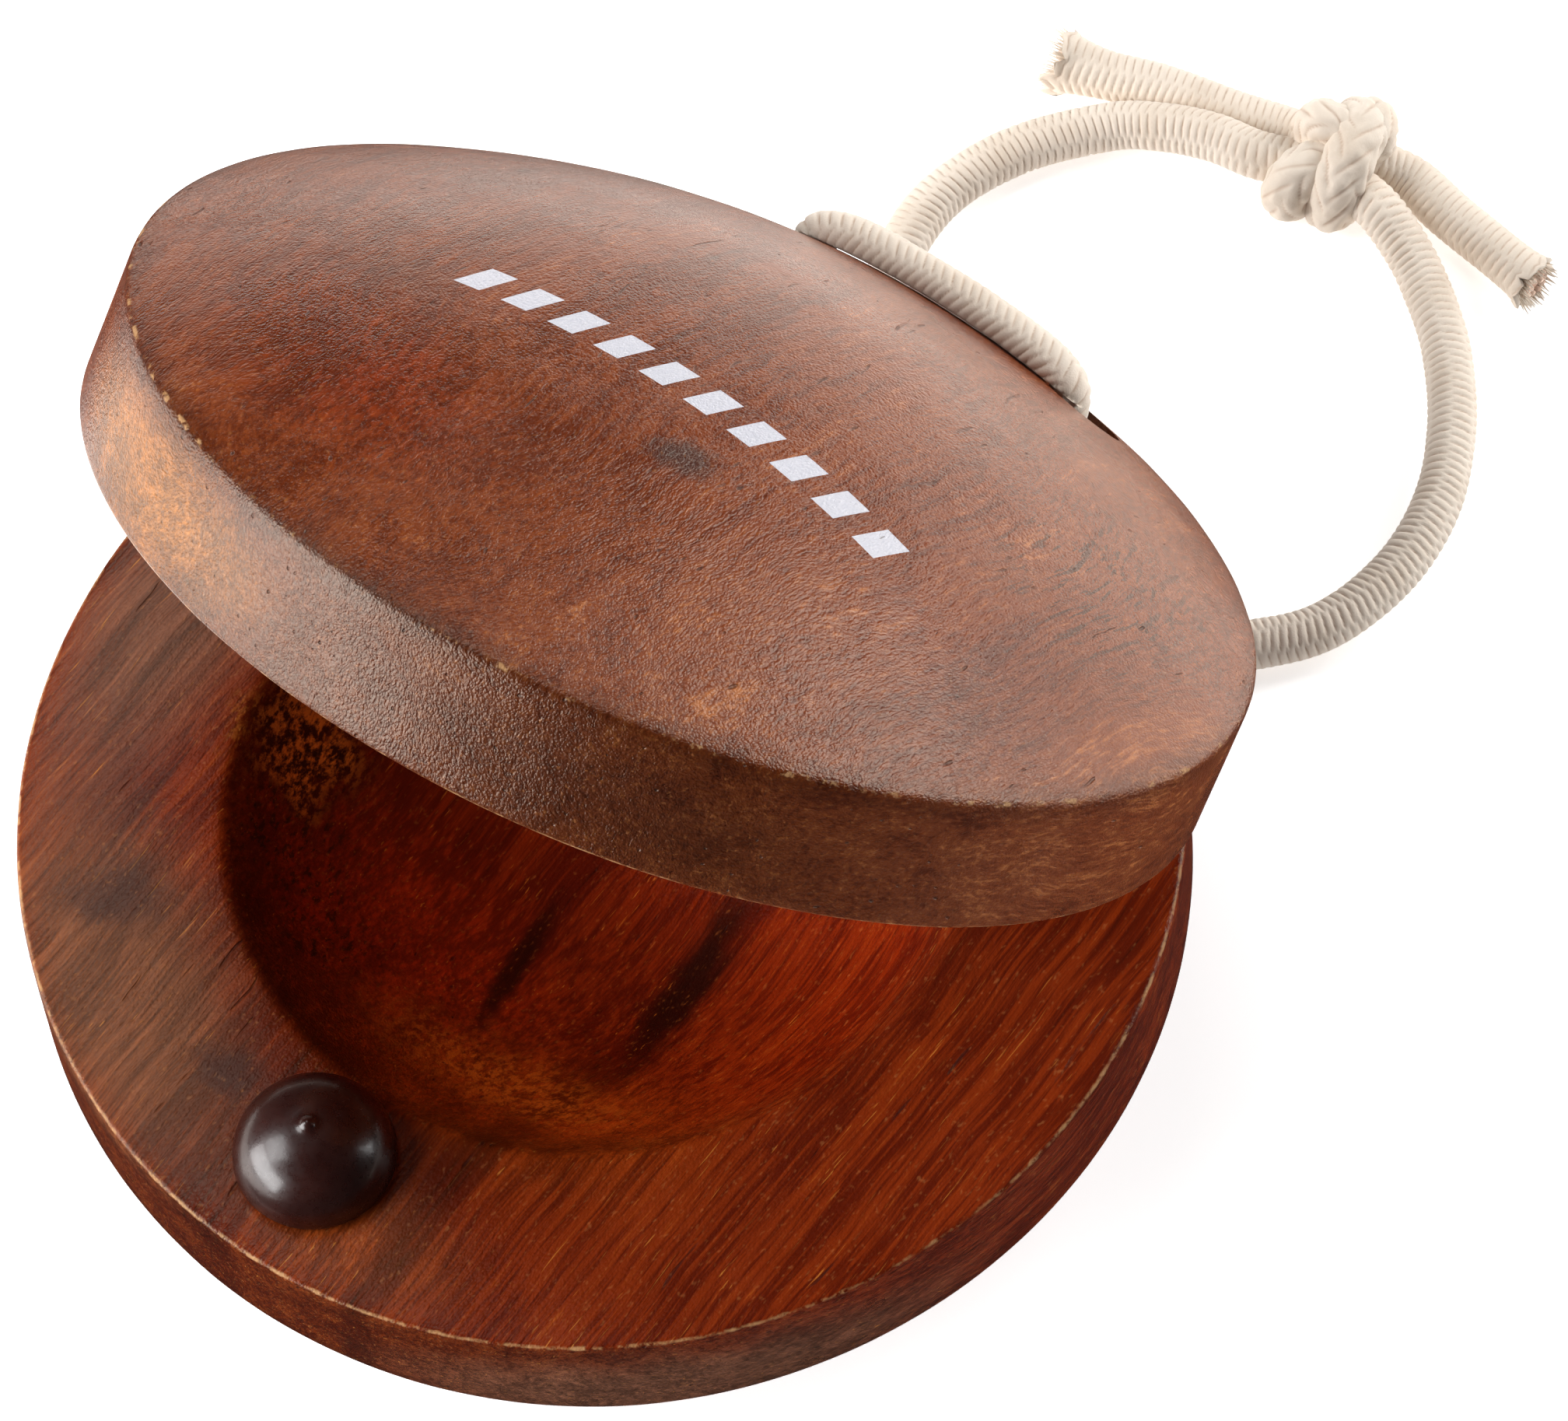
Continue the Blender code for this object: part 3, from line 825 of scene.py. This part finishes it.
def build_button():
    """A moulded dome with the small nub its gate leaves on top, on a stem."""
    g = Nodes("button_plastic")
    p = g.millimetres()
    mottle = g.noise(p, 0.9, 3.0, 0.6)
    g.set("Base Color", g.ramp(mottle, [(0.3, (0.017, 0.0030, 0.0020)),
                                        (0.8, (0.026, 0.0060, 0.0042))]))
    g.set("Roughness", g.span(g.noise(p, 2.5, 4.0, 0.6), 0.2, 0.8, 0.24, 0.34))
    g.set("Coat Weight", 0.15)
    g.set("Coat Roughness", 0.12)
    g.set("Normal", g.bump(g.noise(p, 1.6, 3.0, 0.6), 0.03, 0.4))
    nub_r, nub_h = 0.35, 0.3
    foot = math.acos(nub_r * 1.8 / BUTTON_R)
    outline = [(0, BUTTON_H + nub_h), (nub_r * 0.55, BUTTON_H + nub_h * 0.85),
               (nub_r * 0.95, BUTTON_H + nub_h * 0.35), (nub_r * 1.25, BUTTON_H + 0.02)]
    for i in range(25):
        a = foot * (1 - i / 24)
        outline.append((BUTTON_R * math.cos(a), 0.3 + (BUTTON_H - 0.3) * math.sin(a)))
    outline += [(BUTTON_R, 0.18), (BUTTON_R - 0.04, 0.06), (BUTTON_R - 0.14, 0.0),
                (STEM_R, 0.0), (STEM_R, 0.5 - STEM_LEN), (STEM_R - 0.5, -STEM_LEN),
                (0, -STEM_LEN)]
    mesh = as_mesh(turned(outline, 96), "button")
    shade(mesh, 50)
    piece("strike_button_moulded", mesh, "lower", g.material,
          Matrix.Translation(Vector((0, BUTTON_Y, RIM_Z + 0.1)) * MM), ["strike_button"])


def leg_route(side, heading):
    """Down out of a hole of the lower shell and round onto the table, towards heading."""
    x = side * CORD_X
    route = [(x, CORD_Y, RIM_Z - z) for z in (CORD_END, 3.6, 6.0)]
    top = CORD_FLOOR + CORD_BEND
    for i in range(4):
        a = math.radians(30 * i)
        out = CORD_BEND * (1 - math.cos(a))
        route.append((x + out * math.cos(heading), CORD_Y + out * math.sin(heading),
                      top - CORD_BEND * math.sin(a)))
    return route


LEFT_ROUTE = leg_route(-1, math.radians(97)) + [
    (-9.4, 32.5, CORD_FLOOR), (-11.2, 37.5, CORD_FLOOR), (-11.5, 41.5, CORD_FLOOR),
    (-10.0, 45.6, CORD_FLOOR), (-7.05, 49.3, 1.3), (-4.5, 50.8, 1.7), (-1.9, 51.6, 2.1),
    (0.5, 51.9, 2.35), (2.4, 52.7, 2.2)]
RIGHT_ROUTE = leg_route(1, math.radians(42)) + [
    (16.0, 29.8, CORD_FLOOR), (18.5, 33.0, CORD_FLOOR), (19.5, 37.2, CORD_FLOOR),
    (19.0, 41.4, CORD_FLOOR), (17.2, 45.2, CORD_FLOOR), (14.4, 48.7, CORD_FLOOR),
    (11.4, 51.05, 1.4), (9.2, 52.2, 1.9), (7.4, 52.8, 2.35), (5.8, 53.1, 2.3)]
TAIL_LEFT = [(2.5, 54.5, 1.8), (0.4, 54.25, 1.3), (-1.95, 53.65, 1.25), (-6.0, 52.75, 1.25),
             (-8.7, 51.85, 1.25), (-11.1, 51.2, 1.25)]
TAIL_RIGHT = [(5.4, 55.0, 1.9), (7.4, 55.5, 1.4), (9.9, 55.1, 1.25), (12.0, 54.8, 1.25),
              (15.7, 54.3, 1.25)]
KNOT_AT = Vector((3.9, 53.7, 2.75))


def on_dome(x, y, share):
    """A point of the span over the dome; share is how far it has risen clear of the wood."""
    r = math.hypot(x, y)
    lift = share * (SPAN_R + 0.12) / math.cos(math.asin(r / DOME_RS))
    return x, y, dome_z(r) + lift


def span_route():
    """Hole to hole over the dome, drawn tight: it dips into each mouth and lies flat between."""
    half = [(CORD_X, CORD_Y, z) for z in (CORD_END, 3.6, 6.0)]
    half += [(7.75, 21.9, 7.9), on_dome(7.45, 21.55, 0.1), on_dome(6.7, 21.4, 0.5),
             on_dome(5.4, 21.3, 0.66), on_dome(2.8, 21.2, 0.72)]
    left = [(-x, y, z) for x, y, z in half]
    return left + [on_dome(0.0, 21.15, 0.74)] + half[::-1]


def span_radius(share):
    """Pinched where it goes down each hole, fullest just past the mouths."""
    from_middle = abs(share - 0.5) * 2
    return SPAN_R + 0.10 * max(0.0, 1 - ((from_middle - 0.36) / 0.2) ** 2)


def pressed_on_dome(place, centre):
    """Keeps a point of the span off the dome, as its soft side flattens there."""
    r = math.hypot(place.x, place.y)
    if centre.z < dome_z(math.hypot(centre.x, centre.y)) - 0.2 or r > SHELL_R - 1:
        return place
    gap = place.z - dome_z(r) - 0.06
    if gap < 0:
        place.z -= gap
    return place


def above_table(place, centre):
    place.z = max(place.z, SOFT_GAP)
    return place


def tail_end(path, seed, flare, elastic, rubber, name, node):
    """A cut end: a torn sheath, a bundle of rubber threads inside it, and loose fibres."""
    sheath = braided_tube(name, path, CORD_R * 1.02, seed=seed, start=seed * 3,
                          torn=True, flare=flare, squash=above_table)
    tip = Vector(path[-1])
    tangent, normal, across = carried_frames(path)[-1]
    fibres, threads = [], []
    for i in range(64):
        turn = 2.4 * i + seed
        reach = 0.55 + 0.85 * (0.5 + 0.5 * noise.noise(Vector((i * 1.3, seed, 0.2))))
        out = (normal * math.cos(turn) + across * math.sin(turn))
        start = (tip - tangent * 0.5
                 + out * (0.82 + flare + 0.3 * noise.noise(Vector((i, 3.3, seed)))))
        lean = out * (0.35 * noise.noise(Vector((i * 0.7, seed, 9.1))) + 0.12 + flare * 0.5)
        curl = across * 0.4 * noise.noise(Vector((seed, i * 0.9, 4.4)))
        points = [start, start + tangent * reach * 0.6 + lean * 0.5,
                  start + tangent * reach * 1.1 + lean + curl]
        for point in points:
            point.z = max(point.z, 0.08)
        fibres.append(plain_tube(points, (0.07, 0.05, 0.018), 5))
    for i in range(19):
        ring, turn = (0, 0) if i == 0 else ((0.36, i * math.pi / 3) if i < 7
                                            else (0.72, i * math.pi / 6))
        out = normal * math.cos(turn) * ring + across * math.sin(turn) * ring
        end = 0.16 + 0.30 * noise.noise(Vector((i * 1.9, seed, 7.0)))
        start = tip - tangent * 1.2 + out
        threads.append(plain_tube([start, start + tangent * 0.7, tip + out + tangent * end],
                                  (0.2, 0.2, 0.17), 8))
    frayed = piece(name, joined(name, [sheath, *fibres]), "lower", elastic,
                   stands_for=[node])
    core = piece(name + "_core", joined(name + "_core", threads), "lower",
                 rubber)
    return frayed, core


def build_knot(elastic):
    """A knot pulled tight: one turn stands over two others, which slant and cross under it.

    Each turn is given along three axes: across the loop, towards its front, and up out of it.
    """
    aside = Vector((0.797, 0.600, -0.072))
    fore = Vector((0.510, -0.732, -0.451))
    out = Vector((0.323, -0.323, 0.890))
    over = [(-0.1, 0.6, -1.4), (-0.1, 1.9, -1.25), (0.0, 2.35, -0.3), (0.1, 1.9, 0.8),
            (0.35, 1.0, 1.45), (0.75, 0.1, 1.6), (1.15, -0.75, 1.3), (1.4, -1.5, 0.7),
            (1.3, -1.8, -0.3), (0.9, -1.4, -1.2), (0.5, -0.5, -1.5)]
    cross = [(-0.9, -0.2, -1.2), (-0.95, -1.1, -0.8), (-0.75, -1.75, 0.0), (-0.2, -1.75, 0.75),
             (0.6, -1.3, 0.9), (1.5, -0.9, 0.45), (2.0, -0.7, -0.4), (1.7, -0.5, -1.2)]
    under = [(-1.0, 0.9, -1.4), (-1.9, 1.7, -1.1), (-2.3, 1.85, -0.2), (-2.15, 1.3, 0.55),
             (-1.4, 0.6, 0.75), (-0.4, 0.1, 0.35), (0.8, -0.6, 0.1), (1.7, -1.15, 0.55),
             (2.05, -1.6, 0.25), (1.9, -1.75, -0.7), (1.0, -1.1, -1.4)]
    meshes = []
    for seed, points, fat, fine in ((21.0, over, 1.32, 1.15), (34.0, under, 1.22, 1.0),
                                    (47.0, cross, 1.15, 1.1)):
        path = smooth_path([KNOT_AT + aside * a + fore * b + out * h for a, b, h in points], 0.1)

        def swell(share, fat=fat, seed=seed):
            return fat + 0.13 * noise.noise(Vector((share * 7, seed, 0)))

        meshes.append(braided_tube("knot", path, swell, pitch=fine, slant=0.6, depth=0.085,
                                   sides=64, seed=seed, squash=above_table))
    mesh = joined("elastic_knot_tied", meshes)
    # Pulled tight, the cord bulges between the turns, and the painted shade in its folds is a
    # little lighter.
    for vert, fold in zip(mesh.vertices, mesh.attributes["fold"].data):
        place = vert.co / MM
        lump = noise.noise(place * 0.8) + 0.5 * noise.noise(place * 1.9)
        vert.co += vert.normal * 0.17 * lump * MM
        vert.co.z = max(vert.co.z, SOFT_GAP * MM)
        fold.value *= 0.9
    return piece("elastic_knot_tied", mesh, "lower", elastic,
                 stands_for=["elastic_knot"])


def build_elastic():
    elastic, rubber = elastic_material(), rubber_material()
    step = 0.07
    span_path = smooth_path(span_route(), step)
    span = braided_tube("elastic_span_braided", span_path, span_radius, pitch=0.52, slant=0.42,
                        depth=0.09, seed=5.0, squash=pressed_on_dome)
    piece("elastic_span_braided", span, "upper", elastic, UPPER,
          ["elastic_span"])

    knot = build_knot(elastic)
    for word, route, seed, flare in (("left", TAIL_LEFT, 2.0, 0.40),
                                     ("right", TAIL_RIGHT, 7.0, 0.12)):
        tail_end(smooth_path(route, step), seed, flare, elastic, rubber,
                               f"elastic_tail_{word}_frayed", f"elastic_tail_{word}")
    for word, route, seed, extra in (("left", LEFT_ROUTE, 11.0, [knot]),
                                     ("right", RIGHT_ROUTE, 15.0, [])):
        path = smooth_path(route, step)
        mesh = braided_tube(f"elastic_{word}_braided", path, CORD_R, depth=0.075, seed=seed,
                            start=seed, squash=above_table)
        strand = piece(f"elastic_{word}_braided", mesh, "lower", elastic,
                       stands_for=[f"elastic_{word}"])

    # In each hole the cord crosses the joint, and bends with it.
    for side, word in ((-1, "left"), (1, "right")):
        low = Vector((side * CORD_X, CORD_Y, RIM_Z - CORD_END))
        up = (UPPER @ (Vector((side * CORD_X, CORD_Y, CORD_END)) * MM)) / MM
        low_in, up_in = Vector((0, 0, -1)), (UPPER.to_3x3() @ Vector((0, 0, 1)))
        path = smooth_path([low + low_in * 1.6, low + low_in * 0.6, low, up, up + up_in * 0.6,
                            up + up_in * 1.6], 0.2)
        mesh = braided_tube(f"elastic_leg_{word}", path, CORD_R * 0.96, seed=40.0 + side, sides=20)
        leg = link(bpy.data.objects.new(f"elastic_leg_{word}", mesh))
        mesh.materials.append(elastic)
        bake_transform(leg)


# ---------------------------------------------------------------- stage

LIT_POINT, LIGHT_DISTANCE = Vector((0, 0.005, 0.02)), 0.60
# name, direction from the object, size in metres, radiance with 1 as paper white
SOFTBOXES = [("front_left", (-0.54, -0.785, 0.30), (0.58, 0.28), 12.0),
             ("left_high", (-0.55, -0.45, 0.70), (0.30, 0.25), 8.0),
             ("back", (0.24, 0.84, 0.50), (0.30, 0.30), 5.4),
             ("back_low", (0.26, 0.95, 0.16), (0.30, 0.16), 3.2),
             ("back_right", (0.58, 0.72, 0.38), (0.30, 0.25), 6.0),
             ("top", (-0.30, 0.33, 0.90), (0.30, 0.25), 4.4)]
# name, two corners on the table in metres, strength, colour
TABLE_GLEAMS = [("left", (-0.83, -0.65), (-0.03, 0.0), 1.05, (1.0, 0.86, 0.72)),
                ("back", (-0.02, 0.045), (0.40, 0.46), 0.95, (1.0, 0.76, 0.55)),
                ("far", (-0.42, 0.045), (-0.02, 0.46), 0.58, (1.0, 0.70, 0.45))]


def softbox(name, direction, size, radiance):
    """A soft box in this direction from the object, facing it."""
    data = bpy.data.lights.new(name, "AREA")
    data.shape = "RECTANGLE"
    data.size, data.size_y = size
    data.energy = radiance * math.pi * size[0] * size[1]
    light = link(bpy.data.objects.new(name, data))
    direction = Vector(direction).normalized()
    light.location = LIT_POINT + direction * LIGHT_DISTANCE
    light.rotation_mode = "QUATERNION"
    light.rotation_quaternion = direction.to_track_quat("Z", "Y")


def table_gleam(name, low, high, strength, colour):
    """A card on the table that only the wood's gloss sees, as the lit table around it."""
    work = bmesh.new()
    bmesh.ops.create_grid(work, x_segments=1, y_segments=1, size=0.5)
    bmesh.ops.scale(work, vec=Vector((high[0] - low[0], high[1] - low[1], 1)), verts=work.verts)
    card = link(bpy.data.objects.new(name, as_mesh(work, name)))
    card.location = ((low[0] + high[0]) / 2, (low[1] + high[1]) / 2, 0.0002)
    for kind in ("camera", "diffuse", "shadow", "transmission", "volume_scatter"):
        setattr(card, "visible_" + kind, False)
    g = Nodes(name)
    g.set("Base Color", (0.9, 0.9, 0.9))
    g.set("Emission Color", colour)
    g.set("Emission Strength", strength)
    card.data.materials.append(g.material)


def build_stage():
    work = bmesh.new()
    bmesh.ops.create_grid(work, x_segments=8, y_segments=8, size=2.5)
    floor = link(bpy.data.objects.new("floor", as_mesh(work, "floor")))
    g = Nodes("floor_paper")
    g.set("Base Color", g.ramp(g.noise(g.coordinates(), 20.0, 2.0, 0.5),
                               [(0.3, (0.90, 0.90, 0.90)), (0.7, (0.92, 0.92, 0.915))]))
    g.set("Roughness", 0.9)
    g.set("Specular IOR Level", 0.1)
    g.set("Emission Color", (1.0, 1.0, 1.0))
    g.set("Emission Strength", 0.54)
    floor.data.materials.append(g.material)
    floor.visible_glossy = False

    for name, *rest in TABLE_GLEAMS:
        table_gleam("table_gleam_" + name, *rest)

    world = bpy.data.worlds.new("studio")
    world.use_nodes = True
    background = world.node_tree.nodes["Background"]
    background.inputs["Color"].default_value = (1.0, 1.0, 1.0, 1.0)
    background.inputs["Strength"].default_value = 0.03
    bpy.context.scene.world = world
    bpy.context.scene.view_settings.view_transform = "Standard"
    for name, *rest in SOFTBOXES:
        softbox("softbox_" + name, *rest)


add_camera()
build_elastic()
build_shells()
build_button()
build_stage()
